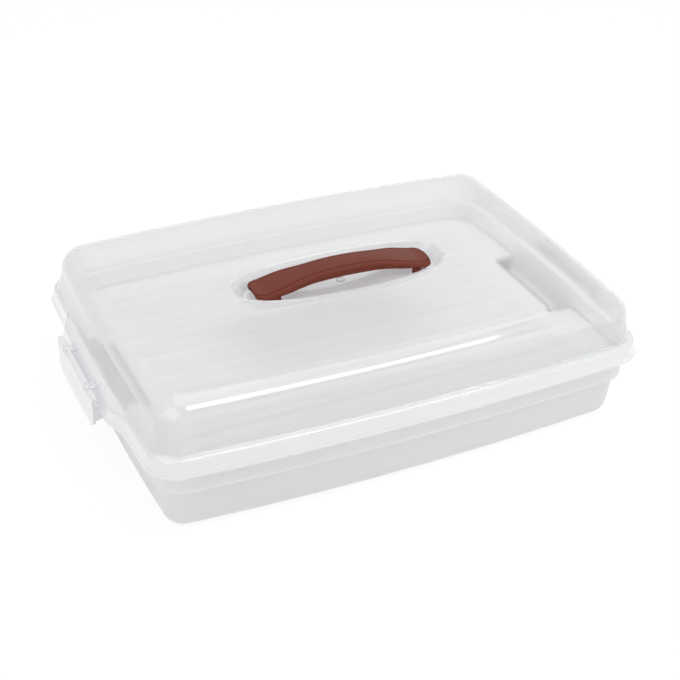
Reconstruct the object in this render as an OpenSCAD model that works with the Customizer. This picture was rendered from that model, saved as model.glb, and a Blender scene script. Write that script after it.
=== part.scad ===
// Cake carrier: a deep white base, a ribbed platform that stands in it, and a
// clear lid with an arched handle and a hinged latch at each short end.
// Millimetres. The origin is the middle of the underside of the base,
// +X runs along the long side and +Z is up.

/* [Carrier] */
// Length over the lid's skirt at its corners, without the end grips
carrier_l = 450; // [380:1:520]
// Width over the lid's skirt, in the middle of the long sides
carrier_w = 322; // [270:1:380]
// How far the middle of each long side bows out
side_bow = 8; // [2:0.5:12]
// How far the middle of each short end bows out
end_bow = 4; // [1:0.5:6]
// Corner radius of the skirt, seen from above
rim_r = 24; // [20:1:32]
// Height of the bottom edge of the lid's skirt above the table
skirt_z = 65.6; // [60:0.2:76]
// Height of the skirt, from its bottom edge to its shoulder
skirt_h = 15; // [12:0.5:20]
// Gap left between pieces that lie on each other
seat_gap = 0.3; // [0.2:0.05:0.5]

/* [End grips] */
// Width of the grip in the middle of each short end, where it stands out fully
grip_w = 124; // [112:1:150]
// Length of the slope at each side of a grip
grip_slope = 24; // [14:1:30]
// How far a grip stands out from the short end
grip_out = 7; // [5:0.5:10]

/* [Base] */
// Wall thickness of the base
base_wall = 2; // [1.6:0.1:2.6]
// Inset of the base's upper band from the skirt
band_inset = 9.5; // [8.5:0.5:12]
// Height of the step under the upper band
step_z = 43; // [36:0.5:48]
// Width of that step, which carries the platform inside
step_w = 4; // [3.5:0.5:6]
// Draft of the wall below the step
base_draft = 2.5; // [1:0.5:6]
// Radius between the wall and the floor
base_fillet = 13; // [8:1:18]
// Depth of the turned-down edge of the base's rim
hem_h = 12.5; // [8:0.5:12.5]

/* [Platform] */
// Height of the platform's top above the table
platform_z = 62; // [56:0.5:64]
// Thickness of the platform's skirt
platform_t = 2; // [1.6:0.1:2.4]
// Clearance between the platform and the wall of the base
platform_gap = 2; // [0.8:0.1:2.2]
// Corner radius of the platform
platform_r = 26; // [18:1:30]
// Distance between two ribs
rib_pitch = 31; // [29:1:34]
// Number of troughs between the ribs
trough_n = 9; // [5:2:9]
// Depth of a trough
rib_depth = 2.5; // [1.5:0.1:2.6]
// Radius of a trough's floor
trough_r = 40; // [34:1:42]
// Distance from the platform's end to the troughs' ends
trough_margin = 44; // [36:1:60]
// Width of the hand cut-out at each short end
cutout_w = 102; // [80:1:110]
// Length of the hand cut-out, from the platform's end inwards
cutout_l = 23; // [16:1:28]
// Corner radius of the hand cut-out
cutout_r = 5; // [3:1:8]

/* [Lid] */
// Height of the lid's top above the table
lid_z = 121.6; // [116:0.2:140]
// Wall thickness of the lid
lid_wall = 1.6; // [1.2:0.1:2]
// Height of the rounded bead along the bottom of the skirt
bead_h = 4; // [3:0.5:5]
// Inset of the skirt's shoulder
shoulder_inset = 3.4; // [2.6:0.2:4]
// Inset of the foot of the lid's wall
foot_inset = 9.5; // [8.5:0.5:10.5]
// Lean of the lid's wall, from its foot to its top
lid_draft = 0.6; // [0:0.2:2]
// Radius of the lid's top edge
lid_fillet = 17; // [10:1:20]
// Half length of the sunk field around the handle
field_a = 98; // [94:1:120]
// Half width of the sunk field around the handle
field_b = 32; // [30:1:45]
// Depth of the sunk field
field_depth = 10.6; // [9:0.2:12]
// Width of the sunk field's sloping wall
field_slope = 7; // [4:0.5:8]
// Radius of the moulding mark in the middle of the field
mark_r = 4; // [3:0.5:6]

/* [Handle] */
// Length of the handle over its pads
handle_l = 168; // [160:1:174]
// Width of the handle's pads
pad_w = 34; // [30:1:36]
// Width of the handle in the middle
strap_w = 27; // [22:1:30]
// Height of the pads' top above the floor of the sunk field
pad_h = 8.5; // [7.5:0.5:11]
// Rise of the handle's top in the middle, above its pads
handle_rise = 11; // [8:0.5:24]
// Thickness of the handle at its pads
pad_t = 4; // [3.6:0.2:5]
// Thickness of the handle in the middle
strap_t = 8; // [6:0.5:10]
// Depth of the groove along each side of the handle
groove_d = 0.9; // [0.5:0.1:1.2]
// Radius of the pins on the handle's feet
foot_pin_r = 1.2; // [0.9:0.1:1.3]
// Thickness of the lid's eyes that take those pins
eye_t = 6; // [4:0.5:7]

/* [Latches] */
// Length of a latch along the short end
latch_w = 100; // [80:1:108]
// Wall thickness of a latch
latch_t = 2.2; // [1.8:0.1:2.6]
// Height of a latch, from its hinge to its lower edge
latch_h = 29; // [26:0.5:32]
// Radius of the lower corners of a latch
latch_corner = 14; // [10:1:16]
// Radius of the latch's hinge barrel
barrel_r = 2.7; // [2.6:0.1:3]
// Radius of the hinge pin
hinge_r = 1.4; // [1.2:0.1:1.5]
// Radial clearance of every pin in its eye
pin_gap = 0.08; // [0.05:0.01:0.1]
// Width of one of the lid's hinge eyes
hinge_eye_w = 9; // [7:0.5:12]
// Distance of the hinge eyes from the middle of the latch
hinge_eye_y = 30; // [20:1:36]
// Thickness of the hook under the rim
hook_t = 3; // [2:0.2:3.6]
// Overlap of the hook under the rim of the base
hook_bite = 1.6; // [1:0.2:2.4]

/* [Hidden] */
half_l = carrier_l / 2;
half_w = carrier_w / 2;
shoulder_z = skirt_z + skirt_h;
rim_top_z = shoulder_z - lid_wall - seat_gap;
hem_inset = shoulder_inset + lid_wall + seat_gap;
hem_t = base_wall;
ledge_z = step_z + base_wall;
platform_foot_z = ledge_z + seat_gap;
platform_inset = band_inset + base_wall + platform_gap;
plate_t = platform_t + rib_depth;
field_z = lid_z - field_depth;
lip_r = 1.2;
power = 2.6;
pad_z = field_z + pad_h;
eye_h = pad_h - pad_t - seat_gap;
foot_x = handle_l / 2 - 20;
foot_l = 7;
foot_w = 4;
foot_y = pad_w / 2 - foot_w / 2;
end_x = half_l + end_bow + grip_out;
hinge_x = end_x + seat_gap + barrel_r;
hinge_z = shoulder_z - 2;
hook_z = skirt_z - seat_gap;
hook_x = end_x - hem_inset - hook_bite;
flap_x = hinge_x + barrel_r;
flap_z = hinge_z - latch_h;
corner_n = 6;
white = [0.93, 0.94, 0.95];
clear = [0.86, 0.88, 0.91, 0.45];
brown = [0.45, 0.22, 0.18];

// Points of one rounded corner, centred on [cx, cy], from angle start
function corner(cx, cy, r, start) =
    [for (i = [0 : corner_n]) [cx + r * cos(start + 90 * i / corner_n), cy + r * sin(start + 90 * i / corner_n)]];

// Places along a short end where its outline needs a point, bottom to top
function end_places() =
    let (g = grip_w / 2, s = grip_slope)
    concat([for (k = [1 : -0.25 : 0]) -g - s * k], [-g / 2, 0, g / 2], [for (k = [0 : 0.25 : 1]) g + s * k]);

// Places along a long side, as shares of its straight length
side_shares = [for (k = [1 : 6]) 1 - 2 * k / 7];

// How much of its full reach the end grip has at y
function grip_share(y) =
    let (t = min(1, max(0, (abs(y) - grip_w / 2) / grip_slope)))
    1 - t * t * (3 - 2 * t);

// The carrier's outline, with straight sides, inset from the skirt
function plain_outline(inset, r) =
    let (a = half_l - inset, b = half_w - side_bow - inset)
    concat(
        [for (y = end_places()) [a, y]],
        corner(a - r, b - r, r, 0),
        [for (k = side_shares) [(a - r) * k, b]],
        corner(r - a, b - r, r, 90),
        [for (y = end_places()) [-a, -y]],
        corner(r - a, r - b, r, 180),
        [for (k = side_shares) [(r - a) * k, -b]],
        corner(a - r, r - b, r, 270));

// The same outline with its sides bowed and its end grips standing out
function outline(inset, r, grip) =
    let (a = half_l - inset, b = half_w - side_bow - inset)
    [for (p = plain_outline(inset, r)) [
        p[0] + (end_bow * (1 - pow(p[1] / b, 2)) + grip * grip_share(p[1])) * p[0] / a,
        p[1] + side_bow * (1 - pow(p[0] / a, 2)) * p[1] / b]];

// One level of a shell: its inset, its height and how far its grips stand out
function level(inset, z, grip = 0) =
    [for (p = outline(inset, max(rim_r - inset * 0.6, 3), grip)) [p[0], p[1], z]];

// A level in the shape of the sunk field, with as many points
function power_part(v) = sign(v) * pow(abs(v), 2 / power);
function field_level(grow, z) =
    [for (p = plain_outline(0, rim_r))
        let (t = atan2(p[1] / half_w, p[0] / half_l))
        [(field_a + grow) * power_part(cos(t)), (field_b + grow) * power_part(sin(t)), z]];

// Insets and heights along a quarter round, from its lower end
function fillet_up(inset, z, r, n) =
    [for (i = [0 : n]) [inset + r * (1 - cos(90 * i / n)), z + r * sin(90 * i / n)]];
function fillet_floor(inset, z, r, n) =
    [for (i = [0 : n]) [inset + r * (1 - sin(90 * i / n)), z + r * (1 - cos(90 * i / n))]];

// A closed solid through a list of levels, each with the same number of points
module loft(levels) {
    n = len(levels[0]);
    last = len(levels) - 1;
    points = [for (l = levels) for (p = l) p];
    walls = [for (i = [0 : last - 1]) for (j = [0 : n - 1])
        [i * n + j, (i + 1) * n + j, (i + 1) * n + (j + 1) % n, i * n + (j + 1) % n]];
    caps = [[for (j = [0 : n - 1]) j], [for (j = [n - 1 : -1 : 0]) last * n + j]];
    polyhedron(points, concat(walls, caps), convexity = 8);
}

module base() {
    foot = band_inset + step_w + base_draft;
    hem_z = rim_top_z - hem_h;
    color(white) loft(concat(
        [for (p = fillet_floor(foot, 0, base_fillet, 5)) level(p[0], p[1])],
        [level(band_inset + step_w, step_z),
        level(band_inset, step_z + 1),
        level(band_inset, rim_top_z - base_wall),
        level(hem_inset + hem_t, rim_top_z - base_wall, grip_out),
        level(hem_inset + hem_t, hem_z, grip_out),
        level(hem_inset, hem_z, grip_out),
        level(hem_inset, rim_top_z - 1.4, grip_out),
        level(hem_inset + 1.4, rim_top_z, grip_out),
        level(band_inset + base_wall - 0.6, rim_top_z),
        level(band_inset + base_wall, rim_top_z - 0.6),
        level(band_inset + base_wall, ledge_z),
        level(band_inset + base_wall + step_w, ledge_z)],
        [for (i = [5 : -1 : 0])
            let (p = fillet_floor(foot + base_wall, base_wall, base_fillet - base_wall, 5)[i])
            level(p[0], p[1])]));
}

// A long trough with round ends, along X through [0, y, z]
module trough(y, z, half, r) {
    translate([0, y, z]) rotate([0, 90, 0]) rotate_extrude($fn = 96)
        intersection() {
            union() {
                translate([0, -half]) square([r, 2 * half]);
                for (s = [-1, 1]) translate([0, s * half]) circle(r = r, $fn = 96);
            }
            translate([0, -half - r]) square([r, 2 * half + 2 * r]);
        }
}

module cutout(s) {
    end = half_l + end_bow - platform_inset;
    x0 = end - cutout_l;
    depth = cutout_l + 2 * end_bow;
    translate([s * (x0 + depth / 2), 0, platform_foot_z - 1])
        linear_extrude(platform_z - platform_foot_z + 2) {
            square([depth, cutout_w - 2 * cutout_r], center = true);
            translate([s * cutout_r / 2, 0]) square([depth - cutout_r, cutout_w], center = true);
            for (t = [-1, 1]) translate([s * (cutout_r - depth / 2), t * (cutout_w / 2 - cutout_r)])
                circle(r = cutout_r, $fn = 48);
        }
}

module platform() {
    half = half_l + end_bow - platform_inset - trough_margin;
    sink = trough_r - rib_depth;
    color(white) difference() {
        translate([0, 0, platform_foot_z]) linear_extrude(platform_z - platform_foot_z)
            polygon(outline(platform_inset, platform_r, 0));
        translate([0, 0, platform_foot_z - 1]) linear_extrude(platform_z - plate_t - platform_foot_z + 1)
            polygon(outline(platform_inset + platform_t, platform_r - platform_t, 0));
        for (k = [0 : trough_n - 1])
            trough((k - (trough_n - 1) / 2) * rib_pitch, platform_z + sink, half, trough_r);
        for (k = [0 : trough_n - 2])
            trough((k - (trough_n - 2) / 2) * rib_pitch, platform_z - plate_t - sink, half, trough_r);
        for (s = [-1, 1]) cutout(s);
    }
}

// An eye of the lid for a pin of the handle, at the end s and the side t
module handle_eye(s, t) {
    x0 = foot_x + foot_l + seat_gap;
    translate([s * x0, t * foot_y, field_z - lid_wall / 2]) mirror([s < 0 ? 1 : 0, 0, 0])
        translate([0, -foot_w / 2, 0]) cube([eye_t, foot_w, eye_h + lid_wall / 2]);
}

// The room that a pin of the handle needs in its eye
module handle_pin(s, t, r, x0, l) {
    translate([s > 0 ? x0 : -x0 - l, t * foot_y, field_z + eye_h / 2]) rotate([0, 90, 0])
        cylinder(r = r, h = l, $fn = 48);
}

// An eye of the lid for the pin of a latch
module hinge_eye(s, y) {
    translate([s * hinge_x, y - hinge_eye_w / 2, hinge_z]) rotate([-90, 0, 0])
        cylinder(r = barrel_r, h = hinge_eye_w, $fn = 64);
    reach = hinge_x - (end_x - hem_inset + seat_gap);
    translate([s > 0 ? hinge_x - reach : -hinge_x, y - hinge_eye_w / 2, hinge_z - barrel_r])
        cube([reach, hinge_eye_w, 2 * barrel_r]);
}

module hinge_bore(s, r, l) {
    translate([s * hinge_x, -l / 2, hinge_z]) rotate([-90, 0, 0]) cylinder(r = r, h = l, $fn = 64);
}

module lid_shell() {
    w = lid_wall;
    top = foot_inset + lid_draft;
    inner = fillet_up(top + w, lid_z - lid_fillet, lid_fillet - w, 6);
    outer = fillet_up(top, lid_z - lid_fillet, lid_fillet, 6);
    loft(concat(
        [field_level(-field_slope, field_z - w),
        field_level(w - field_slope, field_z - w),
        field_level(w, lid_z - w - lip_r),
        field_level(w + lip_r, lid_z - w)],
        [for (i = [6 : -1 : 0]) level(inner[i][0], inner[i][1])],
        [level(foot_inset + w, shoulder_z - w),
        level(shoulder_inset + w + 1.4, shoulder_z - w, grip_out),
        level(shoulder_inset + w, shoulder_z - w - 1.2, grip_out),
        level(w, skirt_z, grip_out),
        level(0.6, skirt_z, grip_out),
        level(0.1, skirt_z + 0.6, grip_out),
        level(0, skirt_z + 1.4, grip_out),
        level(0.3, skirt_z + bead_h / 2, grip_out),
        level(1, skirt_z + 0.8 * bead_h, grip_out),
        level(1.5, skirt_z + bead_h + 1, grip_out),
        level(shoulder_inset - 0.7, shoulder_z - 3, grip_out),
        level(shoulder_inset - 0.3, shoulder_z - 1.7, grip_out),
        level(shoulder_inset + 0.5, shoulder_z - 0.6, grip_out),
        level(shoulder_inset + 2, shoulder_z, grip_out),
        level(foot_inset - 1.4, shoulder_z),
        level(foot_inset - 0.4, shoulder_z + 0.4),
        level(foot_inset, shoulder_z + 1.4)],
        [for (p = outer) level(p[0], p[1])],
        [field_level(lip_r, lid_z),
        field_level(0.3, lid_z - 0.5),
        field_level(-0.4, lid_z - lip_r - 0.6),
        field_level(-field_slope + 1, field_z + 0.8),
        field_level(-field_slope - 1, field_z)]));
}

module lid() {
    x0 = foot_x + foot_l + seat_gap;
    color(clear) difference() {
        union() {
            lid_shell();
            for (s = [-1, 1]) for (t = [-1, 1]) {
                handle_eye(s, t);
                hinge_eye(s, t * hinge_eye_y);
            }
            translate([0, 0, field_z - lid_wall / 2]) difference() {
                cylinder(r = mark_r, h = lid_wall / 2 + 0.5, $fn = 64);
                cylinder(r = mark_r - 1, h = lid_wall + 1, $fn = 64);
            }
        }
        for (s = [-1, 1]) {
            for (t = [-1, 1]) handle_pin(s, t, foot_pin_r + pin_gap, x0 - 0.5, eye_t + 1);
            hinge_bore(s, hinge_r + pin_gap, 2 * hinge_eye_y + hinge_eye_w + 1);
        }
    }
}

// Half width of the handle at x, with its pads and their round corners
function handle_half_w(x) =
    let (d = handle_l / 2 - abs(x), r = 8)
    let (t = min(1, max(0, (abs(x) - 30) / (foot_x - 34))))
    let (w = strap_w / 2 + (pad_w - strap_w) / 2 * t * t * (3 - 2 * t))
    d < r ? w - r + sqrt(max(0, r * r - pow(r - d, 2))) : w;

// How far the handle's arch has risen at x, from 0 at the pads to 1 in the middle
function arch_share(x) =
    let (u = 1 - pow(x / (handle_l / 2 - 8), 2))
    u > 0.08 ? u : 0.04 * exp(min(0, (u - 0.08) * 25)) + 0.04;

// Section of the handle at x: half width w, top z, thickness t
function handle_section(x, w, z, t) =
    let (inside = min(t - 0.8, 3))
    let (half = [
        [w * 0.45, z - 0.1], [w - 5.4, z - 0.3], [w - 4.7, z - 0.4 - groove_d], [w - 3.9, z - 0.5],
        [w - 1.8, z - 0.9], [w - 0.6, z - 1.6], [w, z - 2.6], [w, z - t + 0.6], [w - 0.6, z - t],
        [w - 2.2, z - t], [w - 2.5, z - inside]])
    concat([[x, 0, z]], [for (p = half) [x, p[0], p[1]]], [[x, 0, z - inside]],
        [for (i = [len(half) - 1 : -1 : 0]) [x, -half[i][0], half[i][1]]]);

module handle() {
    ends = [for (d = [0, 0.8, 2.4, 5, 8, 12, 16, 20, 24]) handle_l / 2 - d];
    middle = [for (k = [1 : 7]) (handle_l / 2 - 24) * (1 - k / 8)];
    right = concat(ends, middle);
    places = concat(right, [0], [for (i = [len(right) - 1 : -1 : 0]) -right[i]]);
    color(brown) {
        loft([for (x = places)
            let (u = arch_share(x))
            handle_section(x, handle_half_w(x), pad_z + handle_rise * u, pad_t + (strap_t - pad_t) * u)]);
        for (s = [-1, 1]) for (t = [-1, 1]) {
            translate([s > 0 ? foot_x : -foot_x - foot_l, t * foot_y - foot_w / 2, field_z + seat_gap])
                cube([foot_l, foot_w, pad_h - 2.6 - seat_gap]);
            handle_pin(s, t, foot_pin_r, foot_x + foot_l - 1, eye_t);
        }
    }
}

// Outline of a latch, seen from its end: the barrel, the flap and the hook
module latch_profile() {
    inner = flap_x - latch_t;
    translate([hinge_x, hinge_z]) circle(r = barrel_r, $fn = 64);
    polygon([[hinge_x, hinge_z], [flap_x, hinge_z], [flap_x, flap_z + 1], [flap_x - 0.6, flap_z],
        [inner - 0.4, flap_z], [inner, flap_z + 1], [inner, hook_z - hook_t], [hook_x + 1, hook_z - hook_t],
        [hook_x, hook_z - 0.8], [hook_x, hook_z], [inner - 0.8, hook_z], [inner, hook_z + 1]]);
}

// Outline of a cheek: it closes the end of the latch beside the rim
module cheek_profile() {
    polygon([[hinge_x, hinge_z], [flap_x - 0.5, hinge_z], [flap_x - 0.5, flap_z + latch_corner],
        [flap_x - latch_t, flap_z + latch_corner - 4], [hook_x + 1, hook_z - hook_t],
        [hook_x, hook_z - 0.8], [hook_x, hook_z], [end_x + seat_gap + 0.4, hook_z]]);
}

// One latch at the +X end, closed
module latch() {
    difference() {
        intersection() {
            union() {
                translate([0, latch_w / 2, 0]) rotate([90, 0, 0]) linear_extrude(latch_w) latch_profile();
                for (t = [-1, 1]) translate([0, t * (latch_w / 2 - latch_t / 2) + latch_t / 2, 0])
                    rotate([90, 0, 0]) linear_extrude(latch_t) cheek_profile();
            }
            translate([hook_x - 1, 0, 0]) rotate([90, 0, 90]) linear_extrude(flap_x - hook_x + 2) {
                translate([-latch_w / 2, flap_z + latch_corner])
                    square([latch_w, latch_h + barrel_r - latch_corner]);
                translate([latch_corner - latch_w / 2, flap_z])
                    square([latch_w - 2 * latch_corner, latch_corner + 1]);
                for (t = [-1, 1]) translate([t * (latch_w / 2 - latch_corner), flap_z + latch_corner])
                    circle(r = latch_corner, $fn = 96);
            }
        }
        for (t = [-1, 1]) translate([hinge_x, t * hinge_eye_y - hinge_eye_w / 2 - 0.4, hinge_z])
            rotate([-90, 0, 0]) cylinder(r = barrel_r + seat_gap, h = hinge_eye_w + 0.8, $fn = 64);
    }
    hinge_bore(1, hinge_r, 2 * hinge_eye_y + hinge_eye_w + 4);
}

module latch_right() {
    color(clear) latch();
}

module latch_left() {
    color(clear) mirror([1, 0, 0]) latch();
}

base();
platform();
lid();
handle();
latch_left();
latch_right();
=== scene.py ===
"""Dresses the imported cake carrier: its clear lid, its plastics, floor, light and camera."""

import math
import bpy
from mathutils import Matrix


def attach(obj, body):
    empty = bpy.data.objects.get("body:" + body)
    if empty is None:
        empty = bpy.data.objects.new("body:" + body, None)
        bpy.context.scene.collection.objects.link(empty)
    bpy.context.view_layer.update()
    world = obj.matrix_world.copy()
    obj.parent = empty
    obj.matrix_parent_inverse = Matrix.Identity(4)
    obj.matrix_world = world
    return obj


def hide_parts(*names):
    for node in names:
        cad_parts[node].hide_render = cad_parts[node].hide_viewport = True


bl_info = {
    "name": "Cake carrier",
    "version": (1, 0, 0),
    "blender": (4, 5, 0),
    "location": "3D View > Sidebar > Carrier",
    "description": "Gives a packed cake carrier its clear lid, plastics, floor, light and camera",
    "category": "Object",
}

import bmesh
import bpy
from mathutils import Matrix, Vector

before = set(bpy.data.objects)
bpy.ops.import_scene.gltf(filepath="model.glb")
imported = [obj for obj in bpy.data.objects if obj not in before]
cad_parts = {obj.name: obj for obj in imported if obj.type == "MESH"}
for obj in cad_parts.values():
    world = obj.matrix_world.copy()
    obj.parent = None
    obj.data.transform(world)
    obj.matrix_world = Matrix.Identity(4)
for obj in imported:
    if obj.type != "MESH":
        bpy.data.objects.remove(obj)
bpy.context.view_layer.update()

# The lid's sizes, in metres, as packed apart from 0.2 mm less of half its width, which keeps it
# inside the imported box: its plan and the grips at its ends
HALF_LENGTH, HALF_WIDTH = 0.225, 0.1608
SIDE_BOW, END_BOW = 0.008, 0.004
RIM_R, LEAST_R, RIM_EASE = 0.024, 0.003, 0.6
GRIP_HALF, GRIP_SLOPE, GRIP_OUT = 0.062, 0.024, 0.007

# Its heights, and how far its shoulder and its wall's foot stand in from the skirt
SKIRT_Z, SHOULDER_Z, LID_Z = 0.0656, 0.0806, 0.1216
SHOULDER_INSET, FOOT_INSET, LID_DRAFT = 0.0034, 0.0095, 0.0006

# Its sunk field, an oval that is squarer than an ellipse
FIELD_A, FIELD_B, FIELD_Z = 0.098, 0.032, 0.111
FIELD_SLOPE, FIELD_POWER, LIP_R = 0.007, 1 / 1.3, 0.0012

# Its eyes for the handle's pins, its barrels for the latches' pins and its mould mark
EYE_X, EYE_Y, EYE_H, EYE_LONG = 0.0713, 0.015, 0.0042, 0.006
EYE_HALF, EYE_SUNK, EYE_BORE = 0.002, 0.0004, 0.00128
HINGE_X, HINGE_Z, HINGE_Y = 0.239, 0.0786, 0.03
BARREL_R, BARREL_HALF, BARREL_BORE, WEB_REACH = 0.0027, 0.0045, 0.00148, 0.0079
MARK_R, MARK_BORE, MARK_HALF = 0.004, 0.003, 0.0005
EYE_EDGE = 0.0003

# Extra rings that hold flat areas flat beside a rounding
SUPPORT, WALL_SUPPORT, FLAT_R = 0.0012, 0.0015, 0.004

# Rings of the shell's small roundings, as (inwards, upwards) from the edge that they round
SKIRT_ROUND = (
    (0.0006, 0),
    (0.0001, 0.0006),
    (0, 0.0014),
    (0.0001, 0.0022),
    (0.0005, 0.003),
    (0.0011, 0.0038),
    (0.0015, 0.005),
    (0.0018, 0.0065),
)
SHOULDER_ROUND = (
    (-0.0008, -0.0034),
    (-0.0005, -0.0021),
    (0.0002, -0.0009),
    (0.0013, -0.0002),
    (0.0024, 0),
)
FOOT_ROUND = ((-0.0018, 0), (-0.0007, 0.0003), (-0.0001, 0.0011))
LIP_ROUND = (
    (LIP_R + SUPPORT, 0),
    (LIP_R, 0),
    (0.0007, -0.0002),
    (0.0001, -0.0008),
    (-0.0004, -LIP_R - 0.0006),
)
FIELD_ROUND = ((0.001, 0.0008), (0.0002, 0.0002), (-0.001, 0))

# How many steps a rounding or a straight side has
CORNER_STEPS, TOP_STEPS, EYE_STEPS = 14, 18, 40
SLOPE_STEPS, SIDE_STEPS = 6, 7
SHARP_ANGLE = math.radians(50)

# How much the plastics bend light
MILKY_IOR, SKIN_IOR, FROST_IOR, HANDLE_IOR = 1.49, 1.5, 1.45, 1.47

# The clear plastic under its haze, and the polish on it
FROST_TINT, FROST_ROUGHNESS, FROST_COAT = (0.985, 0.988, 0.992, 1), 0.07, 0.6
COAT_ROUGHNESS = 0.04

# Haze that the clear plastic adds on the skirt and at grazing angles, and how much of all haze
# shadow rays and soft light pass by
SKIRT_HAZE, LID_RIM, LATCH_RIM, LIT_SHARE = 0.3, 0.6, 0.5, 0.85

# How much darker or lighter than its colour the haze is on the walls, on the skirt and in streaks
# Walls darker as painted shade, the skirt lighter as painted light; streaks are uneven tone
WALL_PAINTED_SHADE, SKIRT_PAINTED_LIGHT, STREAK_TONE = 0.9, 1.06, 0.97

# How deep light enters the milky plastic, in metres, and how much darker its clouds are
MILKY_DEPTH = 0.003
BASE_CLOUD, PLATFORM_CLOUD = 0.04, 0.03

# How rough the surfaces without a setting of their own are
LATCH_ROUGHNESS, PLATFORM_ROUGHNESS, FLOOR_ROUGHNESS = 0.16, 0.5, 0.9

# The floor's two close whites, and how brightly the floor is seen
FLOOR_PALE, FLOOR_PALER = (0.975, 0.975, 0.975, 1), (0.985, 0.985, 0.985, 1)
FLOOR_GLOW = 1.05
WHITE = (1, 1, 1, 1)

# Where each lamp stands, what it points at and its size, in metres
LAMPS = {
    "soft_box": ((0.2, 0.35, 1.8), (0, 0, 0.1), (1.6, 1.6)),
    "strip_box": ((0.4, -0.58, 1.3), (0.4, -0.15, 0.1), (0.86, 0.36)),
    "side_box": ((1.05, -0.95, 0.6), (0.2, -0.15, 0.05), (1.1, 1.0)),
    "left_box": ((-1.1, -0.45, 1.1), (-0.2, 0, 0.08), (1.2, 1.0)),
}

# What the camera points at and the nearest that it sees, in metres, and its sensor's width in
# millimetres
TARGET, NEAREST, SENSOR = (-0.00014, -0.00411, 0.05), 0.05, 36


# Shader maths


class Value:
    """A number socket of a material that takes part in ordinary arithmetic."""

    def __init__(self, finish, socket):
        self.finish = finish
        self.socket = socket

    def maths(self, operation, *terms):
        """Adds one Math node that works on the given terms."""
        return self.finish.node(
            "ShaderNodeMath", {"operation": operation}, dict(enumerate(terms))
        )

    def __add__(self, other):
        return self.maths("ADD", self, other)

    __radd__ = __add__

    def __sub__(self, other):
        return self.maths("SUBTRACT", self, other)

    def __rsub__(self, other):
        return self.maths("SUBTRACT", other, self)

    def __mul__(self, other):
        return self.maths("MULTIPLY", self, other)

    __rmul__ = __mul__

    def __pow__(self, other):
        return self.maths("POWER", self, other)

    def at_least(self, other):
        """The larger of this value and another."""
        return self.maths("MAXIMUM", self, other)

    def at_most(self, other):
        """The smaller of this value and another."""
        return self.maths("MINIMUM", self, other)


class Finish:
    """The nodes of one material, or of the surrounding, built from a few plain calls."""

    def __init__(self, owner):
        owner.use_nodes = True
        self.owner = owner
        self.tree = owner.node_tree
        self.tree.nodes.clear()

    def node(self, kind, settings=None, inputs=None, output=0):
        """Adds a node: its settings come first, then the values or links of its sockets."""
        made = self.tree.nodes.new(kind)
        for key, value in (settings or {}).items():
            setattr(made, key, value)
        for key, value in (inputs or {}).items():
            socket = made.inputs[key]
            if isinstance(value, Value):
                self.tree.links.new(value.socket, socket)
            elif isinstance(value, bpy.types.NodeSocket):
                self.tree.links.new(value, socket)
            else:
                socket.default_value = value
        found = made.outputs[output] if made.outputs else None
        return Value(self, found) if found is not None and found.type == "VALUE" else found

    def ray(self, kind):
        """1 for rays of one kind and 0 for all others."""
        return self.node("ShaderNodeLightPath", output=kind)

    def seen(self):
        """1 for what meets the eye straight on, as a reflection or through clear plastic."""
        straight = self.ray("Is Camera Ray").at_least(self.ray("Is Glossy Ray"))
        return straight.at_least(self.ray("Is Transmission Ray"))

    def facing(self, axis):
        """How far the surface faces along one axis of the piece, from -1 to 1."""
        normal = self.node("ShaderNodeTexCoord", output="Normal")
        return self.node("ShaderNodeSeparateXYZ", None, {0: normal}, output=axis)

    def place(self):
        """The place on the piece, in metres."""
        return self.node("ShaderNodeTexCoord", output="Object")

    def below(self, height):
        """1 on what lies a few millimetres below a height on the piece, and 0 above it."""
        up = self.node("ShaderNodeSeparateXYZ", None, {0: self.place()}, output="Z")
        per_metre = 400
        return ((height - up) * per_metre).at_least(0.0).at_most(1.0)

    def stretched(self, scale):
        """The place on the piece, stretched by a factor along each axis."""
        return self.node(
            "ShaderNodeVectorMath", {"operation": "MULTIPLY"}, {0: self.place(), 1: scale}
        )

    def noise(self, scale, detail=3, stretch=(1, 1, 1)):
        """Even noise between 0 and 1, with scale as its spots to the metre."""
        return self.node(
            "ShaderNodeTexNoise",
            {"noise_dimensions": "3D"},
            {"Vector": self.stretched(stretch), "Scale": scale, "Detail": detail},
        )

    def blend(self, share, first, second):
        """A colour that goes from the first to the second as share goes from 0 to 1."""
        return self.node(
            "ShaderNodeMix",
            {"data_type": "RGBA"},
            {0: share, 6: first, 7: second},
            output=2,
        )

    def bump(self, height, depth, strength=1.0):
        """A normal from a height between 0 and 1, with its depth in metres."""
        return self.node(
            "ShaderNodeBump", None, {"Height": height, "Distance": depth, "Strength": strength}
        )

    def plastic(self, inputs):
        """The shader of a plastic, with what is known of its sockets."""
        return self.node("ShaderNodeBsdfPrincipled", None, inputs)

    def mixed(self, share, first, second):
        """A shader that goes from the first to the second as share goes from 0 to 1."""
        return self.node("ShaderNodeMixShader", None, {0: share, 1: first, 2: second})

    def finish_with(self, shader, output="ShaderNodeOutputMaterial"):
        """Joins a shader to the output of the material or of the surrounding."""
        self.node(output, None, {"Surface": shader})
        return self.owner


def new_finish(name):
    """The nodes of a new material."""
    return Finish(bpy.data.materials.new(name))


def shaded(colour, factor=1.0):
    """A colour property made darker or lighter by a factor, with an alpha of 1."""
    return (colour[0] * factor, colour[1] * factor, colour[2] * factor, 1.0)


# Plastics


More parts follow.
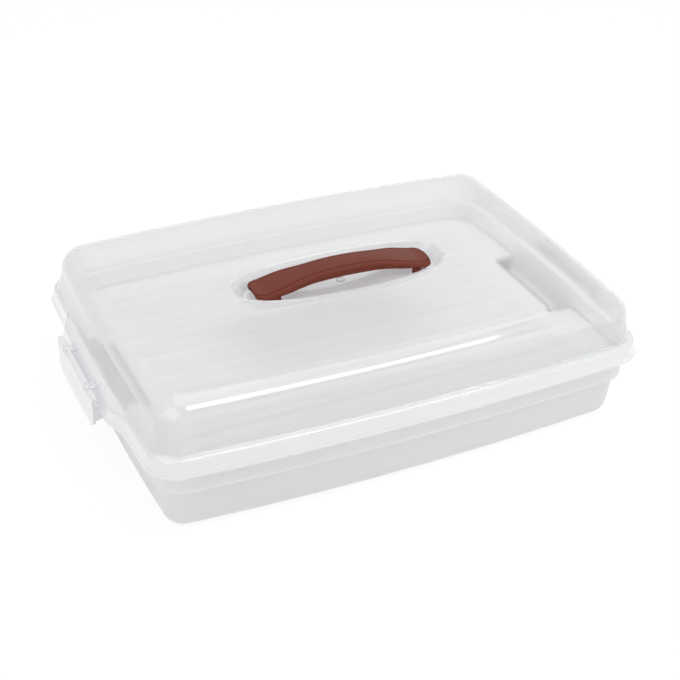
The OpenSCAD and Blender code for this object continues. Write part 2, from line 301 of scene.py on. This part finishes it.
def milky_plastic(name, colour, cloud, gloss):
    """A milky moulded plastic: faint clouds in its colour, satin and slightly uneven."""
    f = new_finish(name)
    clouds = f.noise(9, 4)
    flow = f.noise(60, 3, (0.35, 1.0, 1.0))
    pitted = f.noise(900, 2)
    inputs = {
        "Base Color": f.blend(clouds, shaded(colour, 1 - cloud), shaded(colour)),
        "Roughness": gloss + 0.12 * (flow - 0.5),
        "Normal": f.bump(pitted * 0.4 + flow * 0.6, 0.00003),
        "IOR": MILKY_IOR,
        "Subsurface Weight": 1.0,
        "Subsurface Radius": (1.0, 1.0, 1.0),
        "Subsurface Scale": MILKY_DEPTH,
    }
    return f.finish_with(f.plastic(inputs))


def clear_plastic(name, colour, haze, wall_haze, end_haze, rim, gloss, skirt):
    """A frosted clear plastic: it blurs what lies behind it, under a thin haze."""
    f = new_finish(name)
    clouds = f.noise(7, 3)
    flow = f.noise(34, 3, (0.25, 1.0, 1.0))
    along = f.node("ShaderNodeLayerWeight", None, {"Blend": 0.5}, output="Facing")
    level, endways, low = f.facing("Z"), f.facing("X"), f.below(skirt)

    # The share of the haze: least on the top, more on the walls, the ends and the skirt
    cover = (haze + (wall_haze - haze) * (1 - level * level)) * (0.85 + 0.3 * clouds)
    cover = cover + SKIRT_HAZE * low * (1 - level * level)
    cover = cover + end_haze * endways * endways + rim * along**2

    # Shadow rays and soft light pass most of it by, so that what lies inside is lit
    unlit = f.ray("Is Shadow Ray").at_least(f.ray("Is Diffuse Ray"))
    cover = cover * (1 - LIT_SHARE * unlit)

    # Painted shade darkens the haze on the walls, painted light brightens it on the skirt
    bright = f.blend(flow, shaded(colour, STREAK_TONE), shaded(colour))
    walls = f.blend(low, shaded(colour, WALL_PAINTED_SHADE), shaded(colour, SKIRT_PAINTED_LIGHT))
    skin = {
        "Base Color": f.blend(level * level, walls, bright),
        "Roughness": gloss + 0.06 * flow,
        "Normal": f.bump(flow, 0.00002, 0.5),
        "IOR": SKIN_IOR,
        "Coat Weight": 1.0,
        "Coat Roughness": COAT_ROUGHNESS,
    }
    frosted = {
        "Base Color": FROST_TINT,
        "Roughness": FROST_ROUGHNESS,
        "IOR": FROST_IOR,
        "Transmission Weight": 1.0,
        "Coat Weight": FROST_COAT,
        "Coat Roughness": COAT_ROUGHNESS,
    }
    gap = f.node("ShaderNodeBsdfTransparent", None, {"Color": FROST_TINT})
    clear = f.mixed(unlit, f.plastic(frosted), gap)
    return f.finish_with(f.mixed(cover.at_most(1.0), clear, f.plastic(skin)))


def handle_plastic(name, colour, gloss):
    """A solid coloured plastic, with the fine drawn lines that its mould leaves lengthwise."""
    f = new_finish(name)
    clouds = f.noise(30, 4)
    drawn = f.noise(420, 3, (0.06, 1.0, 1.0))
    pitted = f.noise(1500, 2)
    streaks = 0.5 * clouds + 0.5 * drawn
    inputs = {
        "Base Color": f.blend(streaks, shaded(colour, 0.86), shaded(colour, 1.12)),
        "Roughness": gloss + 0.15 * (drawn - 0.5),
        "Normal": f.bump(0.6 * drawn + 0.4 * pitted, 0.0002),
        "IOR": HANDLE_IOR,
        "Specular IOR Level": 0.15,
    }
    return f.finish_with(f.plastic(inputs))


def dress(node, material):
    """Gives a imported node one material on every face."""
    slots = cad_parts[node].material_slots
    if not slots:
        raise RuntimeError(f"{node} has no material slot")
    for place in slots:
        place.material = material


# The lid's plan and forms


def smooth_step(t):
    """0 below 0, 1 above 1 and a smooth rise between."""
    t = min(1.0, max(0.0, t))
    return t * t * (3 - 2 * t)


def plan_corner(x, y, r, start):
    """Points of one rounded corner, counter-clockwise from an angle in quarter turns."""
    turns = [math.pi / 2 * (start + i / CORNER_STEPS) for i in range(CORNER_STEPS + 1)]
    return [(x + r * math.cos(t), y + r * math.sin(t)) for t in turns]


def straight_plan(inset, r, lean=0.0):
    """The carrier's outline with straight sides, inset from the skirt."""
    a, b = HALF_LENGTH - inset + lean, HALF_WIDTH - SIDE_BOW - inset
    rise = [k / SLOPE_STEPS for k in range(SLOPE_STEPS + 1)]
    ends = [-GRIP_HALF - GRIP_SLOPE * (1 - k) for k in rise]
    ends += [-GRIP_HALF / 2, 0, GRIP_HALF / 2] + [GRIP_HALF + GRIP_SLOPE * k for k in rise]
    shares = [1 - k / SIDE_STEPS for k in range(1, 2 * SIDE_STEPS)]
    return (
        [(a, y) for y in ends]
        + plan_corner(a - r, b - r, r, 0)
        + [((a - r) * k, b) for k in shares]
        + plan_corner(r - a, b - r, r, 1)
        + [(-a, -y) for y in ends]
        + plan_corner(r - a, r - b, r, 2)
        + [((r - a) * k, -b) for k in shares]
        + plan_corner(a - r, r - b, r, 3)
    )


def plan_level(inset, z, grip=0.0, r=None, lean=0.0):
    """One level of the lid: the bowed outline, with its end grips standing out, at a height."""
    r = max(RIM_R - inset * RIM_EASE, LEAST_R) if r is None else r
    a, b = HALF_LENGTH - inset + lean, HALF_WIDTH - SIDE_BOW - inset
    level = []
    for x, y in straight_plan(inset, r, lean):
        out = 1 - smooth_step((abs(y) - GRIP_HALF) / GRIP_SLOPE)
        reach = END_BOW * (1 - (y / b) ** 2) + grip * out
        level.append((x + reach * x / a, y + SIDE_BOW * (1 - (x / a) ** 2) * y / b, z))
    return level


def field_level(grow, z):
    """One level in the shape of the sunk field, with as many points as the outline."""
    level = []
    for x, y in straight_plan(0, RIM_R):
        turn = math.atan2(y / HALF_WIDTH, x / HALF_LENGTH)
        c, s = math.cos(turn), math.sin(turn)
        u = math.copysign(abs(c) ** FIELD_POWER, c)
        v = math.copysign(abs(s) ** FIELD_POWER, s)
        level.append(((FIELD_A + grow) * u, (FIELD_B + grow) * v, z))
    return level


def lid_levels(shape):
    """The levels of the lid's shell, from the sunk field inside, round the skirt to the top."""
    w, r, corner, lean = shape.wall, shape.top_radius, shape.corner, shape.end_lean
    foot, top = FOOT_INSET, FOOT_INSET + LID_DRAFT
    low = LID_Z - r
    flat = top + r + SUPPORT

    def skirt(inset, z):
        return plan_level(inset, z, GRIP_OUT)

    def base_of_wall(inset, z):
        return plan_level(inset, z, 0, corner, lean)

    def wall(inset, z):
        share = (low - z) / (low - SHOULDER_Z)
        return plan_level(inset - LID_DRAFT * share, z, 0, corner, lean * share)

    def edge(inset, radius, turns):
        rings = []
        for turn in turns:
            c, s = math.cos(math.pi / 2 * turn), math.sin(math.pi / 2 * turn)
            narrow = corner + (FLAT_R - corner) * (1 - c)
            rings.append(plan_level(inset + radius * (1 - c), low + radius * s, 0, narrow))
        return rings

    rising = [i / TOP_STEPS for i in range(TOP_STEPS + 1)]
    inside = [
        field_level(-FIELD_SLOPE, FIELD_Z - w),
        field_level(w - FIELD_SLOPE, FIELD_Z - w),
        *(field_level(w + grow, LID_Z - w + up) for grow, up in reversed(LIP_ROUND)),
        plan_level(flat, LID_Z - w, 0, FLAT_R),
        *edge(top + w, r - w, reversed(rising)),
        wall(top + w, low - WALL_SUPPORT),
        wall(top + w, SHOULDER_Z + SUPPORT),
        base_of_wall(foot + w, SHOULDER_Z - w),
        skirt(SHOULDER_INSET + w + 0.0014, SHOULDER_Z - w),
        skirt(SHOULDER_INSET + w, SHOULDER_Z - w - SUPPORT),
        skirt(w, SKIRT_Z + 0.0004),
        skirt(w - 0.0004, SKIRT_Z),
    ]
    outside = [
        *(skirt(inset, SKIRT_Z + up) for inset, up in SKIRT_ROUND),
        *(skirt(SHOULDER_INSET + inset, SHOULDER_Z + up) for inset, up in SHOULDER_ROUND),
        *(base_of_wall(foot + inset, SHOULDER_Z + up) for inset, up in FOOT_ROUND),
        wall(top, SHOULDER_Z + 0.0022),
        wall(top, low - WALL_SUPPORT),
        *edge(top, r, rising),
        plan_level(flat, LID_Z, 0, FLAT_R),
        *(field_level(grow, LID_Z + up) for grow, up in LIP_ROUND),
        *(field_level(grow - FIELD_SLOPE, FIELD_Z + up) for grow, up in FIELD_ROUND),
    ]
    return inside + outside


def piece_of(name, parts):
    """One object from parts, each a list of points and a list of faces."""
    points, faces = [], []
    for part_points, part_faces in parts:
        start = len(points)
        points += part_points
        faces += [tuple(i + start for i in face) for face in part_faces]
    mesh = bpy.data.meshes.new(name)
    mesh.from_pydata(points, [], faces)
    work = bmesh.new()
    work.from_mesh(mesh)
    bmesh.ops.recalc_face_normals(work, faces=work.faces)
    work.to_mesh(mesh)
    work.free()
    mesh.shade_smooth()
    mesh.set_sharp_from_angle(angle=SHARP_ANGLE)
    thing = bpy.data.objects.new(name, mesh)
    bpy.context.collection.objects.link(thing)
    return thing


def loft(levels):
    """Walls through levels of equally many points, closed by a cap at each end."""
    n = len(levels[0])
    faces = []
    for i in range(len(levels) - 1):
        for j in range(n):
            k = (j + 1) % n
            faces.append((i * n + j, (i + 1) * n + j, (i + 1) * n + k, i * n + k))
    last = (len(levels) - 1) * n
    faces += [tuple(range(n)), tuple(range(last, last + n))]
    return [p for level in levels for p in level], faces


def bored(outline, bore, start, end, place):
    """A block with a round hole: outline gives its reach at an angle, place puts it in space."""
    turns = [math.tau * k / EYE_STEPS for k in range(EYE_STEPS)]
    loops = [(start, 0, bore), (start, EYE_EDGE, 0), (start + EYE_EDGE, 0, 0)]
    loops += [(end - EYE_EDGE, 0, 0), (end, EYE_EDGE, 0), (end, 0, bore)]
    points = []
    for along, less, hole in loops:
        for turn in turns:
            reach = hole if hole else outline(turn) - less
            points.append(place(reach * math.cos(turn), reach * math.sin(turn), along))
    n, count = EYE_STEPS, len(loops)
    faces = []
    for i in range(count):
        for j in range(n):
            k, m = (j + 1) % n, (i + 1) % count
            faces.append((i * n + j, m * n + j, m * n + k, i * n + k))
    return points, faces


def box_reach(turn, beside, below):
    """How far a block with a square lower side reaches at an angle."""
    c, s = abs(math.cos(turn)), abs(math.sin(turn))
    tiny = 1e-6
    return min(beside / max(c, tiny), below / max(s, tiny))


def handle_eye(s, t):
    """A small eye of the lid, round on top, for a pin of the handle."""
    high = EYE_H / 2

    def outline(turn):
        return high if math.sin(turn) > 0 else box_reach(turn, EYE_HALF, high + EYE_SUNK)

    def place(u, v, along):
        return (s * along, t * EYE_Y + u, FIELD_Z + high + v)

    return bored(outline, EYE_BORE, EYE_X, EYE_X + EYE_LONG, place)


def latch_eye(s, t):
    """A barrel of the lid for the pin of a latch, with the web that carries it."""

    def outline(turn):
        return BARREL_R if math.cos(turn) > 0 else box_reach(turn, WEB_REACH, BARREL_R)

    def place(u, v, along):
        return (s * (HINGE_X + u), along, HINGE_Z + v)

    middle = t * HINGE_Y
    return bored(outline, BARREL_BORE, middle - BARREL_HALF, middle + BARREL_HALF, place)


def mould_mark():
    """The small raised ring in the middle of the sunk field."""

    def outline(turn):
        return MARK_R

    def place(u, v, along):
        return (u, v, FIELD_Z + along)

    return bored(outline, MARK_BORE, -MARK_HALF, MARK_HALF, place)


# Settings that a user would change


class CarrierColours(bpy.types.PropertyGroup):
    """The colours of the carrier's plastics."""

    base: bpy.props.FloatVectorProperty(
        name="Base",
        description="Colour of the base",
        subtype="COLOR",
        min=0,
        max=1,
        default=(0.94, 0.945, 0.955),
    )
    platform: bpy.props.FloatVectorProperty(
        name="Platform",
        description="Colour of the ribbed platform",
        subtype="COLOR",
        min=0,
        max=1,
        default=(0.86, 0.86, 0.865),
    )
    lid: bpy.props.FloatVectorProperty(
        name="Lid",
        description="Colour of the haze in the clear lid and latches",
        subtype="COLOR",
        min=0,
        max=1,
        default=(0.9, 0.905, 0.918),
    )
    handle: bpy.props.FloatVectorProperty(
        name="Handle",
        description="Colour of the handle",
        subtype="COLOR",
        min=0,
        max=1,
        default=(0.175, 0.04, 0.024),
    )


class CarrierFinish(bpy.types.PropertyGroup):
    """How clear and how glossy the plastics are."""

    lid_haze: bpy.props.FloatProperty(
        name="Lid haze",
        description="How much of the light one face of the lid's top scatters",
        subtype="FACTOR",
        min=0,
        max=1,
        default=0.08,
    )
    wall_haze: bpy.props.FloatProperty(
        name="Wall haze",
        description="How much of the light one face of the lid's upright walls scatters",
        subtype="FACTOR",
        min=0,
        max=1,
        default=0.32,
    )
    end_haze: bpy.props.FloatProperty(
        name="End haze",
        description="How much more of the light one face of the lid's end walls scatters",
        subtype="FACTOR",
        min=0,
        max=1,
        default=0.3,
    )
    latch_haze: bpy.props.FloatProperty(
        name="Latch haze",
        description="How much of the light one face of a latch scatters",
        subtype="FACTOR",
        min=0,
        max=1,
        default=0.62,
    )
    lid_gloss: bpy.props.FloatProperty(
        name="Lid roughness",
        description="Roughness of the clear plastic",
        subtype="FACTOR",
        min=0,
        max=1,
        default=0.1,
    )
    base_gloss: bpy.props.FloatProperty(
        name="Base roughness",
        description="Roughness of the white plastic",
        subtype="FACTOR",
        min=0,
        max=1,
        default=0.38,
    )
    handle_gloss: bpy.props.FloatProperty(
        name="Handle roughness",
        description="Roughness of the handle",
        subtype="FACTOR",
        min=0,
        max=1,
        default=0.42,
    )


class CarrierLid(bpy.types.PropertyGroup):
    """The form of the lid's clear shell."""

    top_radius: bpy.props.FloatProperty(
        name="Top edge",
        description="Radius of the edge between the lid's walls and its top",
        subtype="DISTANCE",
        unit="LENGTH",
        min=0.01,
        max=0.028,
        default=0.023,
    )
    corner: bpy.props.FloatProperty(
        name="Corners",
        description="Radius of the lid's upright corners, seen from above",
        subtype="DISTANCE",
        unit="LENGTH",
        min=0.01,
        max=0.03,
        default=0.02,
    )
    end_lean: bpy.props.FloatProperty(
        name="End lean",
        description="How much further out an end wall stands at its foot than at its top",
        subtype="DISTANCE",
        unit="LENGTH",
        min=0,
        max=0.006,
        default=0.0035,
    )
    wall: bpy.props.FloatProperty(
        name="Wall",
        description="Thickness of the lid's walls",
        subtype="DISTANCE",
        unit="LENGTH",
        min=0.001,
        max=0.003,
        default=0.0016,
    )


class CarrierStage(bpy.types.PropertyGroup):
    """The floor, the light and the camera."""

    floor_size: bpy.props.FloatProperty(
        name="Floor",
        description="Side of the floor",
        subtype="DISTANCE",
        unit="LENGTH",
        min=1,
        default=16,
    )
    shadow: bpy.props.FloatProperty(
        name="Shadow",
        description="Share of the carrier's shadow that the white floor keeps",
        subtype="FACTOR",
        min=0,
        max=1,
        default=0.18,
    )
    fill: bpy.props.FloatProperty(
        name="Fill light",
        description="Strength of the even light from all round",
        min=0,
        default=0.61,
    )
    soft_box: bpy.props.FloatProperty(
        name="Soft box",
        description="Power of the large lamp overhead, in watts",
        min=0,
        default=5.3,
    )
    strip_box: bpy.props.FloatProperty(
        name="Strip box",
        description="Power of the narrower lamp that draws the long highlight, in watts",
        min=0,
        default=3.2,
    )
    side_box: bpy.props.FloatProperty(
        name="Side box",
        description="Power of the large lamp at the right of the front, in watts",
        min=0,
        default=1.3,
    )
    left_box: bpy.props.FloatProperty(
        name="Left box",
        description="Power of the large lamp at the left, in watts",
        min=0,
        default=2.6,
    )
    azimuth: bpy.props.FloatProperty(
        name="Azimuth",
        description="Angle of the camera round the carrier, from the front",
        subtype="ANGLE",
        unit="ROTATION",
        default=math.radians(-26.87),
    )
    elevation: bpy.props.FloatProperty(
        name="Elevation",
        description="Angle of the camera above the table",
        subtype="ANGLE",
        unit="ROTATION",
        default=math.radians(33.28),
    )
    roll: bpy.props.FloatProperty(
        name="Roll",
        description="Turn of the camera about its own axis",
        subtype="ANGLE",
        unit="ROTATION",
        default=math.radians(2.43),
    )
    distance: bpy.props.FloatProperty(
        name="Distance",
        description="Distance of the camera from the middle of the carrier",
        subtype="DISTANCE",
        unit="LENGTH",
        min=0.2,
        default=1.1915,
    )
    lens: bpy.props.FloatProperty(
        name="Lens",
        description="Focal length of the camera, in millimetres",
        min=10,
        default=70.0,
    )


def settings(context):
    """The carrier's settings: its colours, its finish, its lid's form and its stage."""
    scene = context.scene
    return scene.carrier_colours, scene.carrier_finish, scene.carrier_lid, scene.carrier_stage


# Operators


class CARRIER_OT_stage(bpy.types.Operator):
    """Make the floor, the light and the camera"""

    bl_idname = "carrier.stage"
    bl_label = "Stage"

    def floor(self, size, shadow):
        """A large white floor under the carrier, which keeps a share of its shadow."""
        half = size / 2
        mesh = bpy.data.meshes.new("floor")
        corners = [(-half, -half, 0), (half, -half, 0), (half, half, 0), (-half, half, 0)]
        mesh.from_pydata(corners, [], [(0, 1, 2, 3)])
        floor = bpy.data.objects.new("floor", mesh)
        bpy.context.collection.objects.link(floor)
        f = new_finish("floor")
        pale = f.blend(f.noise(3, 2), FLOOR_PALE, FLOOR_PALER)
        skin = f.plastic({"Base Color": pale, "Roughness": FLOOR_ROUGHNESS})
        glow = {"Color": WHITE, "Strength": FLOOR_GLOW}
        white = f.node("ShaderNodeEmission", None, glow)
        mesh.materials.append(f.finish_with(f.mixed(f.seen() * (1 - shadow), skin, white)))

    def world(self, fill):
        """An even white surrounding, at full strength only where it is seen or mirrored."""
        f = Finish(bpy.data.worlds.new("surrounding"))
        strength = fill + (1 - fill) * f.seen()
        sky = f.node("ShaderNodeBackground", None, {"Color": WHITE, "Strength": strength})
        bpy.context.scene.world = f.finish_with(sky, "ShaderNodeOutputWorld")

    def lamp(self, name, place, aim, size, power):
        """One rectangular lamp that points at a place on the carrier."""
        data = bpy.data.lights.new(name, "AREA")
        data.shape = "RECTANGLE"
        data.size, data.size_y = size
        data.energy = power
        lamp = bpy.data.objects.new(name, data)
        lamp.location = place
        toward = Vector(aim) - Vector(place)
        lamp.rotation_euler = toward.to_track_quat("-Z", "Y").to_euler()
        bpy.context.collection.objects.link(lamp)

    def camera(self, stage):
        """The camera, aimed at the middle of the carrier and rolled a little."""
        a, e = stage.azimuth, stage.elevation
        back = Vector((math.sin(a) * math.cos(e), -math.cos(a) * math.cos(e), math.sin(e)))
        right = (-back).cross(Vector((0, 0, 1))).normalized()
        up = right.cross(-back)
        c, s = math.cos(stage.roll), math.sin(stage.roll)
        x, y = right * c + up * s, up * c - right * s
        data = bpy.data.cameras.new("camera")
        data.sensor_width = SENSOR
        data.lens = stage.lens
        data.clip_start = NEAREST
        camera = bpy.data.objects.new("camera", data)
        turn = Matrix((x, y, back)).transposed().to_4x4()
        place = Vector(TARGET) + back * stage.distance
        camera.matrix_world = Matrix.Translation(place) @ turn
        bpy.context.collection.objects.link(camera)
        bpy.context.scene.camera = camera

    def execute(self, context):
        stage = settings(context)[3]
        self.floor(stage.floor_size, stage.shadow)
        self.world(stage.fill)
        for name, (place, aim, size) in LAMPS.items():
            self.lamp(name, place, aim, size, getattr(stage, name))
        self.camera(stage)
        context.scene.view_settings.view_transform = "Standard"
        return {"FINISHED"}


class CARRIER_OT_base(bpy.types.Operator):
    """Give the base its milky white plastic"""

    bl_idname = "carrier.base"
    bl_label = "Base"

    def execute(self, context):
        colours, finish = settings(context)[:2]
        shades = (colours.base, BASE_CLOUD, finish.base_gloss)
        dress("base", milky_plastic("base_plastic", *shades))
        return {"FINISHED"}


class CARRIER_OT_platform(bpy.types.Operator):
    """Give the platform its white plastic"""

    bl_idname = "carrier.platform"
    bl_label = "Platform"

    def execute(self, context):
        colours = settings(context)[0]
        shades = (colours.platform, PLATFORM_CLOUD, PLATFORM_ROUGHNESS)
        dress("platform", milky_plastic("platform_plastic", *shades))
        return {"FINISHED"}


class CARRIER_OT_lid(bpy.types.Operator):
    """Make the lid's clear shell with its eyes"""

    bl_idname = "carrier.lid"
    bl_label = "Lid"

    def execute(self, context):
        colours, finish, shape = settings(context)[:3]
        clear = clear_plastic(
            "lid_plastic",
            colours.lid,
            haze=finish.lid_haze,
            wall_haze=finish.wall_haze,
            end_haze=finish.end_haze,
            rim=LID_RIM,
            gloss=finish.lid_gloss,
            skirt=SHOULDER_Z,
        )
        sides = [(s, t) for s in (-1, 1) for t in (-1, 1)]
        pieces = {
            "lid_shell": [loft(lid_levels(shape))],
            "lid_handle_eyes": [handle_eye(s, t) for s, t in sides],
            "lid_latch_eyes": [latch_eye(s, t) for s, t in sides],
            "lid_mould_mark": [mould_mark()],
        }
        for name, parts in pieces.items():
            piece = piece_of(name, parts)
            piece.data.materials.append(clear)
            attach(piece, "lid")
            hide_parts("lid")
        return {"FINISHED"}


class CARRIER_OT_latches(bpy.types.Operator):
    """Give both latches their clear plastic"""

    bl_idname = "carrier.latches"
    bl_label = "Latches"

    def execute(self, context):
        colours, finish = settings(context)[:2]
        # With no skirt, every face of a latch that is not level takes the walls' painted shade
        clear = clear_plastic(
            "latch_plastic",
            colours.lid,
            haze=finish.latch_haze,
            wall_haze=finish.latch_haze,
            end_haze=0.0,
            rim=LATCH_RIM,
            gloss=LATCH_ROUGHNESS,
            skirt=0.0,
        )
        for node in ("latch_left", "latch_right"):
            dress(node, clear)
        return {"FINISHED"}


class CARRIER_OT_handle(bpy.types.Operator):
    """Give the handle its reddish brown plastic"""

    bl_idname = "carrier.handle"
    bl_label = "Handle"

    def execute(self, context):
        colours, finish = settings(context)[:2]
        dress("handle", handle_plastic("handle_plastic", colours.handle, finish.handle_gloss))
        return {"FINISHED"}


class CARRIER_PT_panel(bpy.types.Panel):
    """Lists the carrier's pieces and their settings"""

    bl_idname = "CARRIER_PT_panel"
    bl_label = "Cake carrier"
    bl_space_type = "VIEW_3D"
    bl_region_type = "UI"
    bl_category = "Carrier"

    def draw(self, context):
        column = self.layout.column()
        for group in settings(context):
            for name in group.__annotations__:
                column.prop(group, name)
        for operator in OPERATORS:
            column.operator(operator.bl_idname)


GROUPS = {
    "carrier_colours": CarrierColours,
    "carrier_finish": CarrierFinish,
    "carrier_lid": CarrierLid,
    "carrier_stage": CarrierStage,
}
OPERATORS = (
    CARRIER_OT_stage,
    CARRIER_OT_base,
    CARRIER_OT_platform,
    CARRIER_OT_lid,
    CARRIER_OT_latches,
    CARRIER_OT_handle,
)


def register():
    """Registers the settings, the operators and the panel."""
    for cls in (*GROUPS.values(), *OPERATORS, CARRIER_PT_panel):
        bpy.utils.register_class(cls)
    for name, cls in GROUPS.items():
        setattr(bpy.types.Scene, name, bpy.props.PointerProperty(type=cls))


def unregister():
    """Takes away what register added."""
    for name in GROUPS:
        delattr(bpy.types.Scene, name)
    for cls in reversed((*GROUPS.values(), *OPERATORS, CARRIER_PT_panel)):
        bpy.utils.unregister_class(cls)


def main():
    """Makes the stage and dresses each piece."""
    register()
    for operator in OPERATORS:
        group, name = operator.bl_idname.split(".")
        getattr(getattr(bpy.ops, group), name)()


if __name__ == "__main__":
    main()
